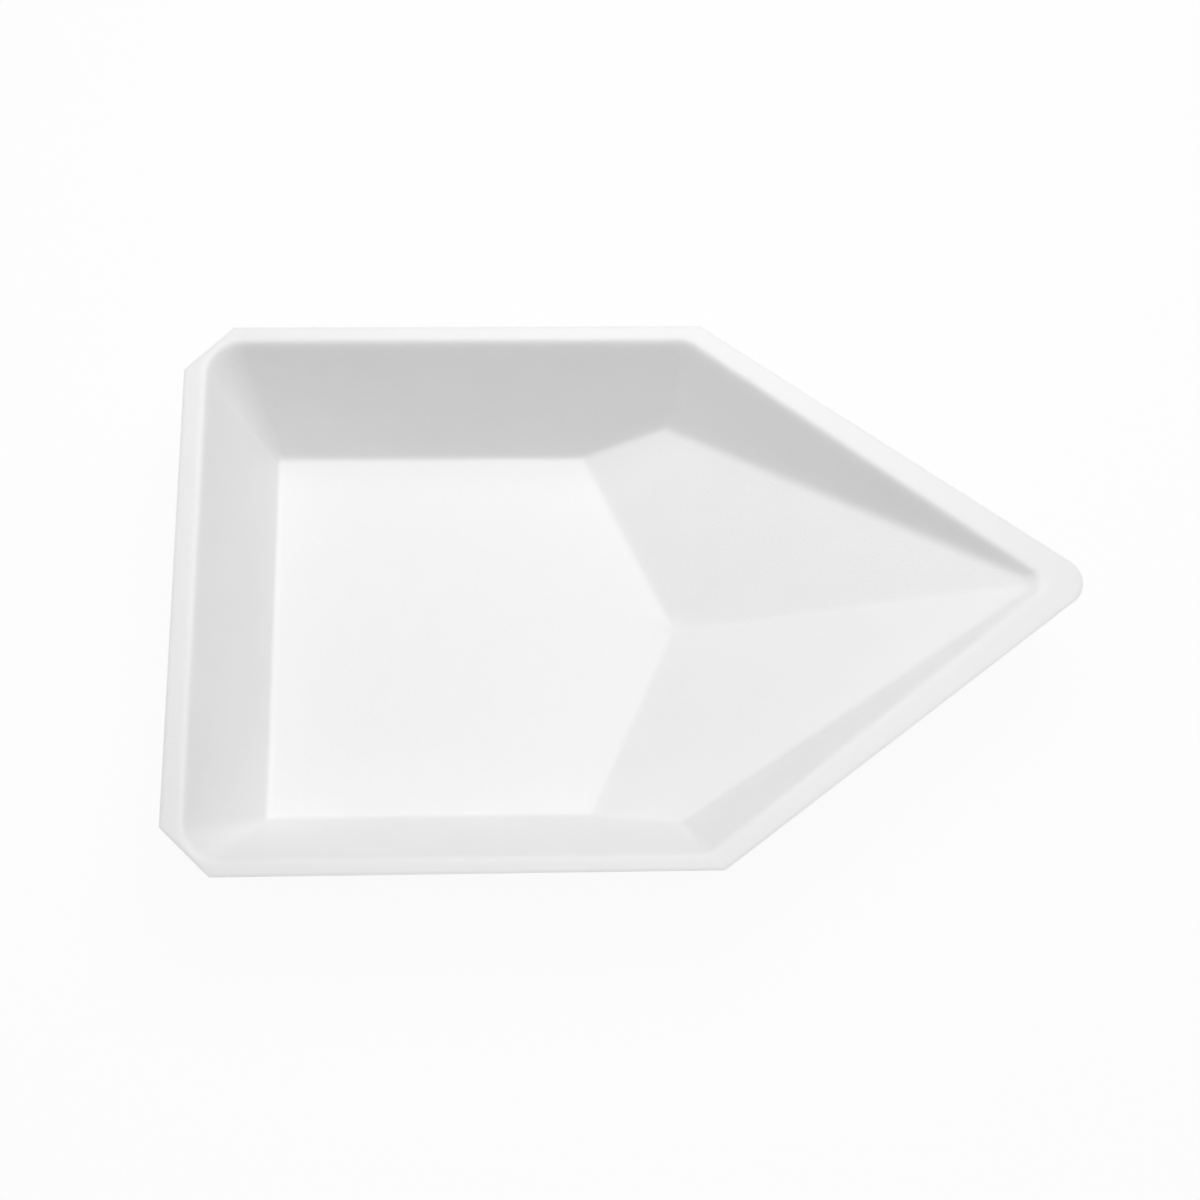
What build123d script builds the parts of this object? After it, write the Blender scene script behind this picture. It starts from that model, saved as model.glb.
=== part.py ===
"""Pour-boat weighing dish: one thermoformed sheet with a flat floor, leaning walls and a rising spout.

Millimetres, +Z up, +X towards the spout, and Y = 0 is the plane of symmetry. The origin lies under
the middle of the overall box, in the plane that the floor's underside rests on.
"""
import os
from math import asin, atan2, cos, hypot, radians, sin, tan

from build123d import *

# Overall size
length = 135.0  # back edge to the rounded end of the spout
width = 87.0
height = 19.0
sheet = 0.3  # gauge of the formed sheet

# Outline of the flange, as it is trimmed
corner_cut = 7.3  # each back corner is cut off at 45 degrees, this far along both edges
shoulder = 79.4  # back edge to the corners where the sides turn in to the spout
tip_radius = 4.0

# Width of the flange, from the trimmed edge to the mouth of the pocket
back_flange = 3.5
side_flange = 2.7
shoulder_flange = 3.4  # square to the spout's edge, at the shoulder
tip_flange = 4.95  # and at the tip, where it is widest

# Lean of the pocket's walls, in degrees from upright
back_draft = 26.0
side_draft = 30.0
spout_draft = 30.0

# Floor and ramps
floor_shoulder = 61.3  # back edge to the floor's front corners
floor_point = 75.0  # back edge to the point where the floor and the two ramps meet
tip_depth = 0.8  # what is left of the depth where the valley between the ramps reaches the tip

# Radius of the pocket's upright corners at its mouth, and what they all narrow to at the floor
back_corner_radius = 5.5
shoulder_corner_radius = 3.0
tip_corner_radius = 2.2
foot_corner_radius = 1.0

# Rounding of the creases, on the upper face of the sheet
lip_radius = 2.0
foot_radius = 1.6
hinge_radius = 4.5  # the floor's front edges, where the ramps start
valley_radius = 4.0

back = -length / 2
half_width = width / 2
shoulder_x = back + shoulder
depth = height - sheet  # of the pocket, from the flange's upper face to the floor's

# The spout's trimmed edge is tangent to the rounded tip; it would run on to a sharp tip
tip_centre_reach = length - tip_radius - shoulder
edge_turn = atan2(half_width, tip_centre_reach) - asin(tip_radius / hypot(half_width, tip_centre_reach))
edge_out_x, edge_out_y = sin(edge_turn), cos(edge_turn)  # outwards, square to that edge
sharp_tip_x = shoulder_x + half_width / tan(edge_turn)

# The spout's wall meets the flange along a line through these two plan points
mouth_start = Vector(shoulder_x - shoulder_flange * edge_out_x, half_width - shoulder_flange * edge_out_y)
mouth_end = Vector(sharp_tip_x - tip_flange * edge_out_x, -tip_flange * edge_out_y)
mouth_turn = atan2(mouth_start.Y - mouth_end.Y, mouth_end.X - mouth_start.X)


def pocket_corners(drop):
    """Back X, half width, shoulder X and sharp tip X of the pocket's outline, drop below the flange."""
    back_x = back + back_flange + drop * tan(radians(back_draft))
    half = half_width - side_flange - drop * tan(radians(side_draft))
    inset = drop * tan(radians(spout_draft)) / sin(mouth_turn)
    tip_x = mouth_start.X + mouth_start.Y / tan(mouth_turn) - inset
    return back_x, half, tip_x - half / tan(mouth_turn), tip_x


def pocket_outline(drop, back_radius, shoulder_radius, nose_radius):
    """The pocket's outline drop below the flange, with its corners rounded."""
    back_x, half, turn_x, tip_x = pocket_corners(drop)
    with BuildSketch(Plane.XY.offset(height - drop)) as outline:
        with BuildLine():
            Polyline((back_x, -half), (turn_x, -half), (tip_x, 0), (turn_x, half), (back_x, half), close=True)
        make_face()
        fillet(outline.vertices().group_by(Axis.X)[-1], nose_radius)
        fillet(outline.vertices().group_by(Axis.X)[1], shoulder_radius)
        fillet(outline.vertices().group_by(Axis.X)[0], back_radius)
    return outline.sketch


# The two ramps rise from the floor's front edges and meet in a valley, which runs up to the tip
mouth_tip_x = pocket_corners(0)[3] - tip_corner_radius * (1 / sin(mouth_turn) - 1)
valley_start = Vector(back + floor_point, 0, sheet)
valley_end = Vector(mouth_tip_x, 0, height - tip_depth)


def ramp_plane(side):
    """The plane of the ramp on one side, +1 or -1, with its normal upwards."""
    floor_corner = Vector(back + floor_shoulder, side * pocket_corners(depth)[1], sheet)
    normal = (valley_end - valley_start).cross(floor_corner - valley_start) * side
    return Plane(origin=valley_start, x_dir=valley_end - valley_start, z_dir=normal)


def floor_and_ramps(part):
    """The flat faces below the mouth: the floor first, then the two ramps."""
    return part.faces().filter_by(GeomType.PLANE).sort_by(Axis.Z)[:3]


def shared_edges(first, second):
    return [edge for edge in first.edges() if edge in second.edges()]


def foot_edges(part):
    """The lower edges of the walls, which are the faces that reach up to the mouth."""
    mouth = part.faces().sort_by(Axis.Z)[-1]
    walls = part.faces().filter_by(lambda face: face != mouth and shared_edges(face, mouth))
    return [edge for edge in walls.edges() if walls.edges().count(edge) == 1 and edge not in mouth.edges()]


# The space inside the boat, up to the flange's upper face
with BuildPart() as pocket:
    add(pocket_outline(depth, foot_corner_radius, foot_corner_radius, foot_corner_radius))
    add(pocket_outline(0, back_corner_radius, shoulder_corner_radius, tip_corner_radius))
    loft(ruled=True)
    split(bisect_by=ramp_plane(1), keep=Keep.TOP)
    split(bisect_by=ramp_plane(-1), keep=Keep.TOP)
    floor, *ramps = floor_and_ramps(pocket.part)
    fillet(shared_edges(ramps[0], ramps[1]), valley_radius)
    floor, *ramps = floor_and_ramps(pocket.part)
    fillet(shared_edges(floor, ramps[0]) + shared_edges(floor, ramps[1]), hinge_radius)
    fillet(foot_edges(pocket.part), foot_radius)

# The same space, taken to the underside of the sheet
with BuildPart() as outer_pocket:
    add(pocket.part)
    offset(amount=sheet)

with BuildSketch() as trimmed_outline:
    with BuildLine():
        Polyline(
            (back, corner_cut - half_width), (back + corner_cut, -half_width), (shoulder_x, -half_width),
            (sharp_tip_x, 0), (shoulder_x, half_width), (back + corner_cut, half_width),
            (back, half_width - corner_cut), close=True,
        )
    make_face()
    fillet(trimmed_outline.vertices().sort_by(Axis.X)[-1], tip_radius)


def former(top, hollow, mouth_radius):
    """A block with the flange's outline, hollowed by a pocket whose mouth is rounded over."""
    with BuildPart() as block:
        add(Plane.XY.offset(-sheet) * trimmed_outline.sketch)
        extrude(amount=top + sheet)
        add(hollow, mode=Mode.SUBTRACT)
        flat_top = block.faces().filter_by(Axis.Z).sort_by(Axis.Z)[-1]
        fillet(flat_top.inner_wires()[0].edges(), mouth_radius)
    return block.part


# The sheet is what lies between the former of its upper face and the former of its underside
with BuildPart() as weighing_boat:
    add(former(height, pocket.part, lip_radius))
    add(former(height - sheet, outer_pocket.part, lip_radius - sheet), mode=Mode.SUBTRACT)

os.makedirs("parts", exist_ok=True)
weighing_boat.part.label = "weighing_boat"
export_step(weighing_boat.part, "parts/weighing_boat.step")
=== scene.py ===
import math

import bpy
from mathutils import Matrix, Vector


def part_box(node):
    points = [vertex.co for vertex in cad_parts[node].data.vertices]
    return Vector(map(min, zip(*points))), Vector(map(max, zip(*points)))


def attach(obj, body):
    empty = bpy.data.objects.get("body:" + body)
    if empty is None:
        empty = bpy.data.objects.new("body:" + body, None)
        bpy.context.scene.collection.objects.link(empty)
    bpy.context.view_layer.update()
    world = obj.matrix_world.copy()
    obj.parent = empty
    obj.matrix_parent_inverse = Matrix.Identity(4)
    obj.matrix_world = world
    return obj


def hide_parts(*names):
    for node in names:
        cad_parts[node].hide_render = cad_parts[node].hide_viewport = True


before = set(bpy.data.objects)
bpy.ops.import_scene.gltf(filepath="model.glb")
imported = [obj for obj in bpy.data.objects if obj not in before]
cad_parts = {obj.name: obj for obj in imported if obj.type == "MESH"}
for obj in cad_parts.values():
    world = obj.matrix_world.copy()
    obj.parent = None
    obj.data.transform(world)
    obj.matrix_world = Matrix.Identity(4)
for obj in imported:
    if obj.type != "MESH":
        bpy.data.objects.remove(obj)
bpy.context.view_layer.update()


# ---- Camera -------------------------------------------------------------------------------------
# The boat is seen from high in front and a little to the left, through a short telephoto lens about
# a third of a metre away, which is turned so that the two long sides lie nearly level.
mm = 0.001
camera_azimuth = math.radians(-6.456)
camera_elevation = math.radians(67.889)
camera_roll = math.radians(5.498)
camera_distance = 334.72 * mm
camera_target = Vector((-3.875, 5.287, 0)) * mm

toward_camera = Vector((
    math.sin(camera_azimuth) * math.cos(camera_elevation),
    -math.cos(camera_azimuth) * math.cos(camera_elevation),
    math.sin(camera_elevation),
))
camera_right = Vector((math.cos(camera_azimuth), math.sin(camera_azimuth), 0))
camera_up = toward_camera.cross(camera_right)
camera_turn = Matrix((camera_right, camera_up, toward_camera)).transposed()
camera_turn = camera_turn @ Matrix.Rotation(camera_roll, 3, "Z")

camera = bpy.data.objects.new("camera", bpy.data.cameras.new("camera"))
camera.data.sensor_width = 36  # this and the lens are given in millimetres
camera.data.lens = 63.94
camera.data.clip_start = 10 * mm
camera_place = camera_target + toward_camera * camera_distance
camera.matrix_world = Matrix.Translation(camera_place) @ camera_turn.to_4x4()
bpy.context.scene.collection.objects.link(camera)
bpy.context.scene.camera = camera


# ---- Polystyrene --------------------------------------------------------------------------------
# High-impact polystyrene, extruded as a smooth white sheet and then drawn hot over a mould. The
# rubber in it keeps it from a true gloss, so it has a soft satin sheen, and the mould's blasted face
# leaves a very fine grain on it.
def linear(colour):
    """An sRGB hex colour as linear red, green, blue and full alpha."""
    parts = [int(colour[i:i + 2], 16) / 255 for i in (1, 3, 5)]
    return [p / 12.92 if p <= 0.04045 else ((p + 0.055) / 1.055) ** 2.4 for p in parts] + [1]


def add_node(tree, kind, inputs=None, **settings):
    """Adds a node. Each input is a value, or another node's output to link it to."""
    node = tree.nodes.new(kind)
    for name, value in settings.items():
        setattr(node, name, value)
    for socket, value in (inputs or {}).items():
        if isinstance(value, bpy.types.NodeSocket):
            tree.links.new(value, node.inputs[socket])
        else:
            node.inputs[socket].default_value = value
    return node


polystyrene = bpy.data.materials.new("white_polystyrene_sheet")
polystyrene.use_nodes = True
look = polystyrene.node_tree
look.nodes.clear()
place = add_node(look, "ShaderNodeTexCoord").outputs["Object"]

# Pigment that is spread a little unevenly, in clouds about 9 mm across. The colours of a Mix node
# are its inputs 6 and 7 and its output 2.
cloud_size = 9 * mm
clouds = add_node(look, "ShaderNodeTexNoise", {"Vector": place, "Scale": 1 / cloud_size, "Detail": 3})
tint = add_node(look, "ShaderNodeMix", {
    0: clouds.outputs["Fac"], 6: linear("#F0F0F0"), 7: linear("#F4F4F4"),
}, data_type="RGBA")
satin = add_node(look, "ShaderNodeMapRange", {
    "Value": clouds.outputs["Fac"], "To Min": 0.36, "To Max": 0.46,
})

# The mould's grain is about 0.1 mm, and is drawn over four times as coarse here so that it shows
grain_size = 0.45 * mm
grain_depth = 0.04 * mm
grain = add_node(look, "ShaderNodeTexNoise", {"Vector": place, "Scale": 1 / grain_size, "Detail": 2})
relief = add_node(look, "ShaderNodeBump", {
    "Height": grain.outputs["Fac"], "Strength": 0.6, "Distance": grain_depth,
})
surface = add_node(look, "ShaderNodeBsdfPrincipled", {
    "Base Color": tint.outputs[2],
    "Roughness": satin.outputs["Result"],
    "IOR": 1.59,
    "Specular IOR Level": 0.5,
    "Normal": relief.outputs["Normal"],
})
add_node(look, "ShaderNodeOutputMaterial", {"Surface": surface.outputs["BSDF"]})


# ---- The boat's blank ---------------------------------------------------------------------------
# The whole boat is one sheet of white high-impact polystyrene, 0.3 mm thick. This is the flat blank
# that its steel rule cuts out: a long five-sided outline with its two back corners cut off and a
# rounded tip. It is laid out in ribs, which run from the trimmed edge in to the point of the floor.
low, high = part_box("weighing_boat")
back, half_width, height = low.x, high.y, high.z
gauge = 0.3 * mm
depth = height - gauge

# The trimmed outline, whose slanting sides are tangent to the rounded tip
corner_cut = 7.3 * mm
shoulder_x = back + 79.4 * mm
tip_radius = 4.0 * mm
tip_reach = high.x - tip_radius - shoulder_x
tangent_turn = math.asin(tip_radius / math.hypot(half_width, tip_reach))
edge_turn = math.atan2(half_width, tip_reach) - tangent_turn
edge_out = Vector((math.sin(edge_turn), math.cos(edge_turn)))
sharp_tip_x = shoulder_x + half_width / math.tan(edge_turn)

# The pocket: its mouth inside the flange, the lean of its walls and the rounding of its corners
back_flange, side_flange = 3.5 * mm, 2.7 * mm
shoulder_flange, tip_flange = 3.4 * mm, 4.95 * mm
back_lean, side_lean, spout_lean = (math.tan(math.radians(draft)) for draft in (26, 30, 30))
back_corner_radius, shoulder_corner_radius, tip_corner_radius = 5.5 * mm, 3.0 * mm, 2.2 * mm
foot_corner_radius = 1.0 * mm
mouth_start = Vector((shoulder_x, half_width)) - edge_out * shoulder_flange
mouth_end = Vector((sharp_tip_x, 0)) - edge_out * tip_flange
mouth_turn = math.atan2(mouth_start.y - mouth_end.y, mouth_end.x - mouth_start.x)

# The floor's front corners and point, and the two ramps that rise from them to meet in a valley
floor_corner_x = back + 61.3 * mm
floor_point = Vector((back + 75.0 * mm, 0))
tip_depth = 0.8 * mm


def five_corners(back_x, turn_x, tip_x, half):
    """The corners of a five-sided outline, anticlockwise from the near back one."""
    plan = (back_x, -half), (turn_x, -half), (tip_x, 0), (turn_x, half), (back_x, half)
    return [Vector(corner) for corner in plan]


def pocket_corners(drop):
    """The corners of the pocket's outline this far below the flange."""
    back_x = back + back_flange + drop * back_lean
    half = half_width - side_flange - drop * side_lean
    tip_inset = drop * spout_lean / math.sin(mouth_turn)
    tip_x = mouth_start.x + mouth_start.y / math.tan(mouth_turn) - tip_inset
    return five_corners(back_x, tip_x - half / math.tan(mouth_turn), tip_x, half)


# How many steps turn each corner, and divide each straight stretch of the outline between them
corner_steps = 14, 8, 28, 8, 14
floor_side_steps, ramp_side_steps, spout_steps, back_steps = 24, 14, 40, 30


def inward_turns(corners):
    """At each corner, the directions into the outline, turning from one side's to the next side's."""
    turns = []
    for k, steps in enumerate(corner_steps):
        along = corners[k] - corners[k - 1]
        bend = along.angle(corners[(k + 1) % len(corners)] - corners[k])
        first = Vector((-along.y, along.x)).normalized()
        turns.append([Matrix.Rotation(bend * i / steps, 2) @ first for i in range(steps + 1)])
    return turns


def rounded(corner, turn, radius):
    """Points along the arc that rounds a corner. A radius of 0 leaves it sharp."""
    centre = corner + (turn[0] + turn[-1]) * radius / (1 + turn[0].dot(turn[-1]))
    return [centre - inward * radius for inward in turn]


crowding = 0.9  # 0 spaces the shares evenly, and 1 packs them tight at both ends


def crowded(steps):
    """Shares from 0 to 1, closer together near both ends, where the sheet bends."""
    shares = [i / steps for i in range(steps + 1)]
    return [t - crowding * math.sin(2 * math.pi * t) / (2 * math.pi) for t in shares]


trim_corners = five_corners(back, shoulder_x, sharp_tip_x, half_width)
trim_turns = inward_turns(trim_corners)
trim = [rounded(*corner) for corner in zip(trim_corners, trim_turns, (0, 0, tip_radius, 0, 0))]

# The two back corners are cut off straight, each in the same direction round as the rest
for k, cut_start, cut_end in ((0, (0, 1), (1, 0)), (4, (1, 0), (0, 1))):
    outer = trim_corners[k]
    inward_y = -1 if outer.y > 0 else 1
    start, end = (outer + Vector((x, y * inward_y)) * corner_cut for x, y in (cut_start, cut_end))
    trim[k] = [start.lerp(end, i / corner_steps[k]) for i in range(corner_steps[k] + 1)]

mouth_radii = (
    back_corner_radius, shoulder_corner_radius, tip_corner_radius,
    shoulder_corner_radius, back_corner_radius,
)
mouth_turns = inward_turns(pocket_corners(0))
mouth = [rounded(*corner) for corner in zip(pocket_corners(0), mouth_turns, mouth_radii)]
foot = [rounded(*corner, foot_corner_radius) for corner in zip(pocket_corners(depth), mouth_turns)]

# One rib down each long side ends exactly at the floor's front corner
split = (floor_corner_x - foot[0][-1].x) / (foot[1][0].x - foot[0][-1].x)
near_side = [split * share for share in crowded(floor_side_steps)]
near_side += [split + (1 - split) * share for share in crowded(ramp_side_steps)[1:]]
far_side = [1 - share for share in reversed(near_side)]
side_shares = near_side, crowded(spout_steps), crowded(spout_steps), far_side, crowded(back_steps)


def all_round(arcs):
    """Joins what is given for the five corners by the straight stretches between them."""
    ring = []
    for k, arc in enumerate(arcs):
        ring += arc
        ring += [arc[-1].lerp(arcs[(k + 1) % len(arcs)][0], share) for share in side_shares[k][1:-1]]
    return ring


# Both ramps rise at the same rate. Each heads square to its hinge, the floor's edge on that side
hinge = Vector((floor_corner_x, -foot[0][-1].y)) - floor_point
ramp_heading = Vector((hinge.y, -hinge.x)).normalized()
mouth_tip_x = mouth[2][corner_steps[2] // 2].x
ramp_rise = (depth - tip_depth) / (ramp_heading.x * (mouth_tip_x - floor_point.x))


def height_gained(step, side):
    """What the ramp on that side, +1 or -1, rises over a step in plan."""
    return ramp_rise * (ramp_heading.x * step.x + ramp_heading.y * side * step.y)


# The stations along a rib: across the flange, down the wall, and over the bed to the floor's point,
# where a power above 1 gathers them near the foot of the wall
flange_steps, wall_steps, bed_steps = 12, 22, 26
bed_crowding = 2.1
flange_shares = crowded(flange_steps)
wall_shares = crowded(wall_steps)[1:]
bed_shares = [(i / bed_steps) ** bed_crowding for i in range(1, bed_steps)]
stations = len(flange_shares) + len(wall_shares) + len(bed_shares)
points, wall_drops, edge_gaps = [], [], []
for edge, lip, sunk, inward in zip(*map(all_round, (trim, mouth, foot, mouth_turns))):
    side = 1 if lip.y > 0 else -1
    reach = (depth - height_gained(lip - floor_point, side)) / (depth + height_gained(sunk - lip, side))
    wall_foot = lip.lerp(sunk, min(1, reach))
    fall_rate = min(1, reach) * depth / (wall_foot - lip).dot(inward)
    rib = [edge.lerp(lip, share) for share in flange_shares]
    rib += [lip.lerp(wall_foot, share) for share in wall_shares]
    rib += [wall_foot.lerp(floor_point, share) for share in bed_shares]
    points += rib
    wall_drops += [(point - lip).dot(inward) * fall_rate for point in rib]
    edge_gaps += [(point - edge).length for point in rib]

ribs = len(points) // stations
faces = []
for i in range(ribs):
    here, there = i * stations, (i + 1) % ribs * stations
    faces += [(here + s, there + s, there + s + 1, here + s + 1) for s in range(stations - 1)]
    faces.append((here + stations - 1, there + stations - 1, len(points)))

# All ribs end at the floor's point, which is far from the walls and the edge
points.append(floor_point)
wall_drops.append(height)
edge_gaps.append(half_width)

blank = bpy.data.meshes.new("blank")
blank.from_pydata([point.to_3d() for point in points], [], faces)
blank.materials.append(polystyrene)
for name, values in (("wall_drop", wall_drops), ("edge_gap", edge_gaps)):
    blank.attributes.new(name, "FLOAT", "POINT").data.foreach_set("value", values)
boat = bpy.data.objects.new("formed_boat", blank)
bpy.context.scene.collection.objects.link(boat)


# ---- Forming ------------------------------------------------------------------------------------
# The hot blank is drawn down by vacuum. At each point it sinks until it meets the mould, which is a
# leaning wall, the flat floor or one of the two ramps, and it rounds over each crease. Its underside
# follows one gauge below.
def rounding(radius, bend):
    """The drop over which two slopes that meet at this bend run together, for a crease of this radius."""
    off_crease = radius * (1 / math.cos(bend / 2) - 1) / math.cos(bend / 2)
    return 6 * off_crease  # because a smooth minimum takes a sixth of its distance off the crease


forming = bpy.data.node_groups.new("forming", "GeometryNodeTree")
forming.interface.new_socket("Sheet", in_out="OUTPUT", socket_type="NodeSocketGeometry")
forming.interface.new_socket("Sheet", in_out="INPUT", socket_type="NodeSocketGeometry")
forming_sizes = {
    "Height": height,
    "Depth": depth,
    "Gauge": gauge,
    "Floor Point": floor_point.to_3d(),
    "Ramp Heading": ramp_heading.to_3d(),
    "Ramp Rise": ramp_rise,
    "Valley Rounding": rounding(4.0 * mm, 2 * math.atan(ramp_rise * ramp_heading.y)),
    "Hinge Rounding": rounding(4.5 * mm, math.atan(ramp_rise)),
    "Foot Rounding": rounding(1.6 * mm, math.atan(1 / side_lean)),
    "Lip Rounding": rounding(2.0 * mm, math.atan(1 / side_lean)),
    "Edge Droop": 0.07 * mm,
    "Edge Droop Width": 0.45 * mm,
    "Waviness": 0.04 * mm,
    "Wave Length": 40 * mm,
    "Seed": 7.0,
    "Plastic": polystyrene,
}
for name, value in forming_sizes.items():
    kind = "Float"
    if isinstance(value, Vector):
        kind = "Vector"
    elif value is polystyrene:
        kind = "Material"
    forming.interface.new_socket(name, in_out="INPUT", socket_type="NodeSocket" + kind)

given = add_node(forming, "NodeGroupInput").outputs

# How far below the flange each ramp lies. The near ramp heads as the far one does, mirrored
laid_at = add_node(forming, "GeometryNodeInputPosition").outputs[0]
beyond_point = add_node(forming, "ShaderNodeVectorMath", {
    0: laid_at, 1: given["Floor Point"],
}, operation="SUBTRACT")
near_heading = add_node(forming, "ShaderNodeVectorMath", {
    0: given["Ramp Heading"], 1: (1, -1, 1),
}, operation="MULTIPLY")
ramp_drops = []
for heading in (given["Ramp Heading"], near_heading.outputs[0]):
    run = add_node(forming, "ShaderNodeVectorMath", {
        0: beyond_point.outputs[0], 1: heading,
    }, operation="DOT_PRODUCT")
    gain = add_node(forming, "ShaderNodeMath", {
        0: run.outputs["Value"], 1: given["Ramp Rise"],
    }, operation="MULTIPLY")
    ramp_drop = add_node(forming, "ShaderNodeMath", {
        0: given["Depth"], 1: gain.outputs[0],
    }, operation="SUBTRACT")
    ramp_drops.append(ramp_drop.outputs[0])

# The shallowest of ramps, floor and wall stops the sheet, and the flange stays up
wall_drop = add_node(forming, "GeometryNodeInputNamedAttribute", {
    "Name": "wall_drop",
}, data_type="FLOAT")
ramps = add_node(forming, "ShaderNodeMath", {
    0: ramp_drops[0], 1: ramp_drops[1], 2: given["Valley Rounding"],
}, operation="SMOOTH_MIN")
bed = add_node(forming, "ShaderNodeMath", {
    0: ramps.outputs[0], 1: given["Depth"], 2: given["Hinge Rounding"],
}, operation="SMOOTH_MIN")
drawn = add_node(forming, "ShaderNodeMath", {
    0: bed.outputs[0], 1: wall_drop.outputs["Attribute"], 2: given["Foot Rounding"],
}, operation="SMOOTH_MIN")
pocket_drop = add_node(forming, "ShaderNodeMath", {
    0: drawn.outputs[0], 1: 0.0, 2: given["Lip Rounding"],
}, operation="SMOOTH_MAX")

# The steel rule presses the flange down a little where it cuts, and the cooled sheet isn't quite flat
edge_gap = add_node(forming, "GeometryNodeInputNamedAttribute", {
    "Name": "edge_gap",
}, data_type="FLOAT")
near_edge = add_node(forming, "ShaderNodeMapRange", {
    "Value": edge_gap.outputs["Attribute"], "From Max": given["Edge Droop Width"],
    "To Min": 1.0, "To Max": 0.0,
})
droop_shape = add_node(forming, "ShaderNodeMath", {
    0: near_edge.outputs["Result"], 1: 2.0,
}, operation="POWER")
whole_drop = add_node(forming, "ShaderNodeMath", {
    0: droop_shape.outputs[0], 1: given["Edge Droop"], 2: pocket_drop.outputs[0],
}, operation="MULTIPLY_ADD")
level = add_node(forming, "ShaderNodeMath", {
    0: given["Height"], 1: whole_drop.outputs[0],
}, operation="SUBTRACT")
wave_rate = add_node(forming, "ShaderNodeMath", {0: 1.0, 1: given["Wave Length"]}, operation="DIVIDE")
waves = add_node(forming, "ShaderNodeTexNoise", {
    "Vector": laid_at, "W": given["Seed"], "Scale": wave_rate.outputs[0], "Detail": 0.0,
}, noise_dimensions="4D")
waved_level = add_node(forming, "ShaderNodeMath", {
    0: waves.outputs["Fac"], 1: given["Waviness"], 2: level.outputs[0],
}, operation="MULTIPLY_ADD")
lift = add_node(forming, "ShaderNodeCombineXYZ", {"Z": waved_level.outputs[0]})
skin = add_node(forming, "GeometryNodeSetPosition", {
    "Geometry": given["Sheet"], "Offset": lift.outputs[0],
})

# The underside, and the cut edge that joins it to the upper face
facing = add_node(forming, "GeometryNodeInputNormal").outputs[0]
held = add_node(forming, "GeometryNodeCaptureAttribute", {"Geometry": skin.outputs[0]})
held.capture_items.new("VECTOR", "Facing")
forming.links.new(facing, held.inputs["Facing"])
doubled = add_node(forming, "GeometryNodeExtrudeMesh", {
    "Mesh": held.outputs["Geometry"], "Offset Scale": 0.0, "Individual": False,
}, mode="FACES")
thickness = add_node(forming, "ShaderNodeMath", {0: given["Gauge"], 1: -1.0}, operation="MULTIPLY")
below = add_node(forming, "ShaderNodeVectorMath", {
    0: held.outputs["Facing"], "Scale": thickness.outputs[0],
}, operation="SCALE")
under = add_node(forming, "GeometryNodeSetPosition", {
    "Geometry": doubled.outputs["Mesh"],
    "Selection": doubled.outputs["Top"],
    "Offset": below.outputs[0],
})
turned = add_node(forming, "GeometryNodeFlipFaces", {"Mesh": under.outputs[0]})
both_faces = add_node(forming, "GeometryNodeJoinGeometry", {0: turned.outputs[0]})
forming.links.new(skin.outputs[0], both_faces.inputs[0])
weld = 0.001 * mm
closed = add_node(forming, "GeometryNodeMergeByDistance", {
    "Geometry": both_faces.outputs[0], "Distance": weld,
})
smooth = add_node(forming, "GeometryNodeSetShadeSmooth", {"Geometry": closed.outputs[0]})
real = add_node(forming, "GeometryNodeRealizeInstances", {"Geometry": smooth.outputs[0]})
finished = add_node(forming, "GeometryNodeSetMaterial", {
    "Geometry": real.outputs[0], "Material": given["Plastic"],
})
add_node(forming, "NodeGroupOutput", {"Sheet": finished.outputs[0]})

press = boat.modifiers.new("forming", "NODES")
press.node_group = forming
for item in forming.interface.items_tree:
    if item.name in forming_sizes:
        press[item.identifier] = forming_sizes[item.name]
boat.data = bpy.data.meshes.new_from_object(boat.evaluated_get(bpy.context.evaluated_depsgraph_get()))
boat.modifiers.remove(press)
sharp_bend = math.radians(30)  # only the cut edge bends as much as this
boat.data.set_sharp_from_angle(angle=sharp_bend)

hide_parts("weighing_boat")
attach(boat, "root")


# ---- Floor and light ----------------------------------------------------------------------------
# A plain pale table top under soft studio light. Wide softboxes hang over the boat, behind it to the
# right and low on its left, and a small one is close behind it, so the walls that face the camera
# are the darker ones.
table_half = 3000 * mm
table_gap = 0.05 * mm  # a hair below the boat, so that their faces never coincide
floor_mesh = bpy.data.meshes.new("floor")
quarters = (-1, -1), (1, -1), (1, 1), (-1, 1)
floor_corners = [(x * table_half, y * table_half, -table_gap) for x, y in quarters]
floor_mesh.from_pydata(floor_corners, [], [(0, 1, 2, 3)])
floor = bpy.data.objects.new("floor", floor_mesh)
bpy.context.scene.collection.objects.link(floor)


def add_seen_directly(tree):
    """One where a thing is seen by the camera, in a reflection or through glass, and nought elsewhere."""
    path = add_node(tree, "ShaderNodeLightPath").outputs
    seen = add_node(tree, "ShaderNodeMath", {
        0: path["Is Camera Ray"], 1: path["Is Glossy Ray"],
    }, operation="ADD")
    seen = add_node(tree, "ShaderNodeMath", {
        0: seen.outputs[0], 1: path["Is Transmission Ray"],
    }, operation="ADD", use_clamp=True)
    return seen.outputs[0]


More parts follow.
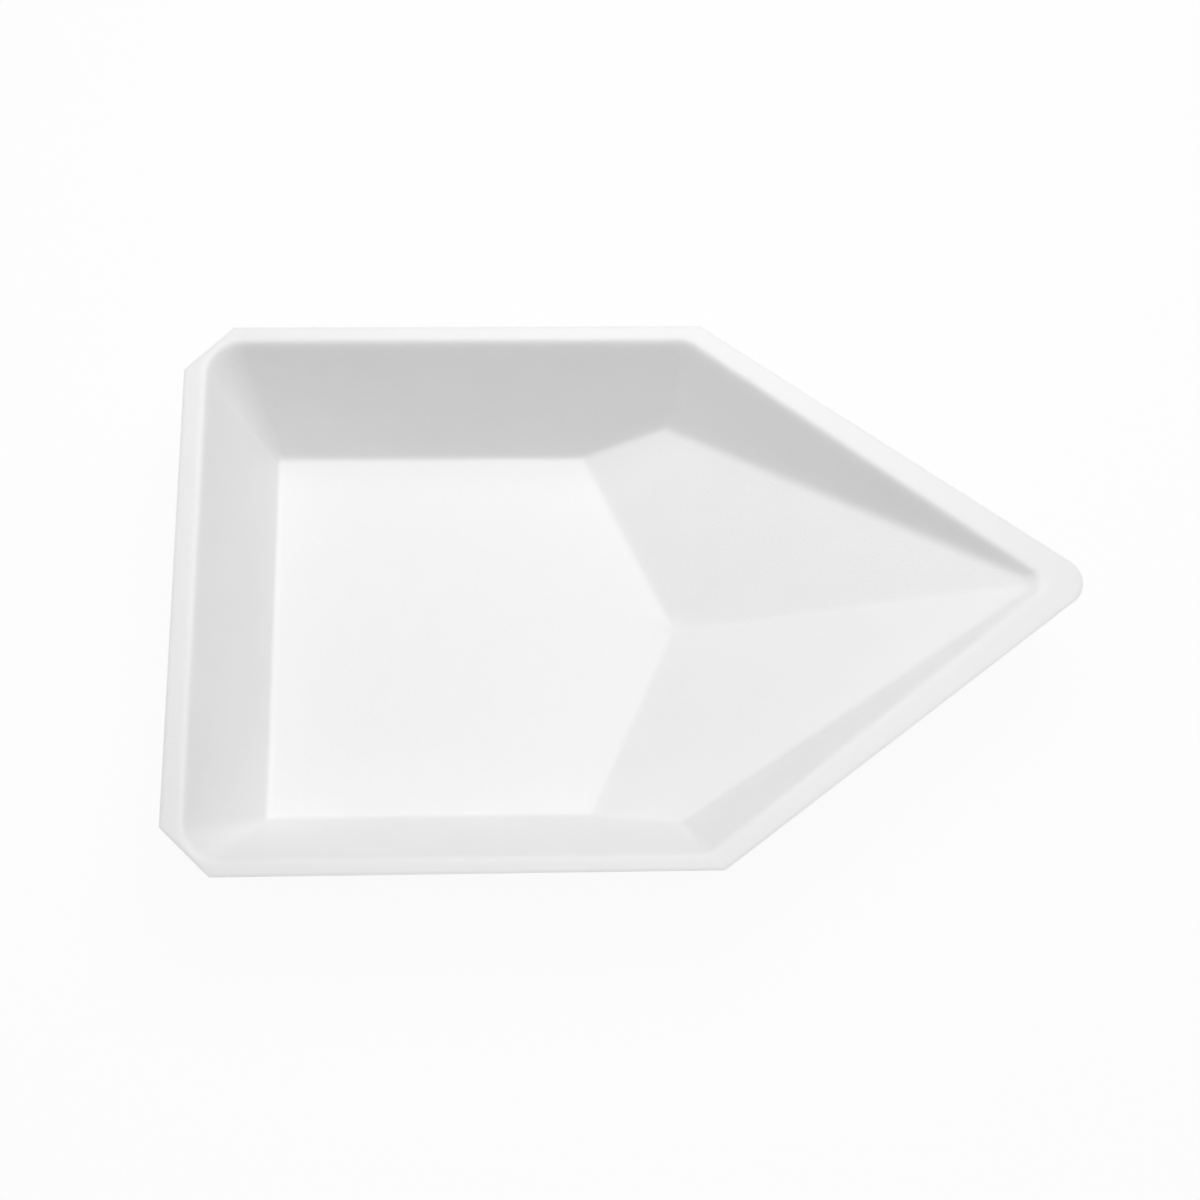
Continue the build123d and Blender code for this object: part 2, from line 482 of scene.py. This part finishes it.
table_glow = 0.93  # what is left of 1 shows the boat's shadow
table_top = bpy.data.materials.new("white_table_top")
table_top.use_nodes = True
floor.data.materials.append(table_top)
look = table_top.node_tree
look.nodes.clear()
laminate = add_node(look, "ShaderNodeBsdfDiffuse", {"Color": linear("#FAFAFA")})
glow = add_node(look, "ShaderNodeEmission", {"Strength": 1.0})
glow_share = add_node(look, "ShaderNodeMath", {
    0: add_seen_directly(look), 1: table_glow,
}, operation="MULTIPLY")
mixed = add_node(look, "ShaderNodeMixShader", {
    0: glow_share.outputs[0], 1: laminate.outputs[0], 2: glow.outputs[0],
})
add_node(look, "ShaderNodeOutputMaterial", {"Surface": mixed.outputs[0]})

world = bpy.data.worlds.new("studio")
world.use_nodes = True
bpy.context.scene.world = world
look = world.node_tree
look.nodes.clear()
white_light = 1, 1, 1, 1
room = add_node(look, "ShaderNodeBackground", {"Color": white_light, "Strength": 0.306})
backdrop = add_node(look, "ShaderNodeBackground", {"Color": white_light, "Strength": 1.0})
mixed = add_node(look, "ShaderNodeMixShader", {
    0: add_seen_directly(look), 1: room.outputs[0], 2: backdrop.outputs[0],
})
add_node(look, "ShaderNodeOutputWorld", {"Surface": mixed.outputs[0]})

# Each softbox: its direction round from +X and its height in degrees, its distance and width, and
# its power in watts
softboxes = {
    "softbox_above": (90, 88, 700 * mm, 600 * mm, 0.80),
    "softbox_behind": (90, 65, 260 * mm, 200 * mm, 0.227),
    "softbox_behind_right": (45, 60, 600 * mm, 500 * mm, 0.66),
    "softbox_left": (180, 35, 600 * mm, 500 * mm, 0.16),
}
for name, (direction, elevation, distance, width, power) in softboxes.items():
    light = bpy.data.lights.new(name, "AREA")
    light.size = width
    light.energy = power
    direction, elevation = math.radians(direction), math.radians(elevation)
    out = math.cos(elevation)
    toward = Vector((math.cos(direction) * out, math.sin(direction) * out, math.sin(elevation)))
    softbox = bpy.data.objects.new(name, light)
    softbox.location = toward * distance
    softbox.rotation_euler = toward.to_track_quat("Z", "Y").to_euler()
    bpy.context.scene.collection.objects.link(softbox)

bpy.context.scene.view_settings.view_transform = "Standard"
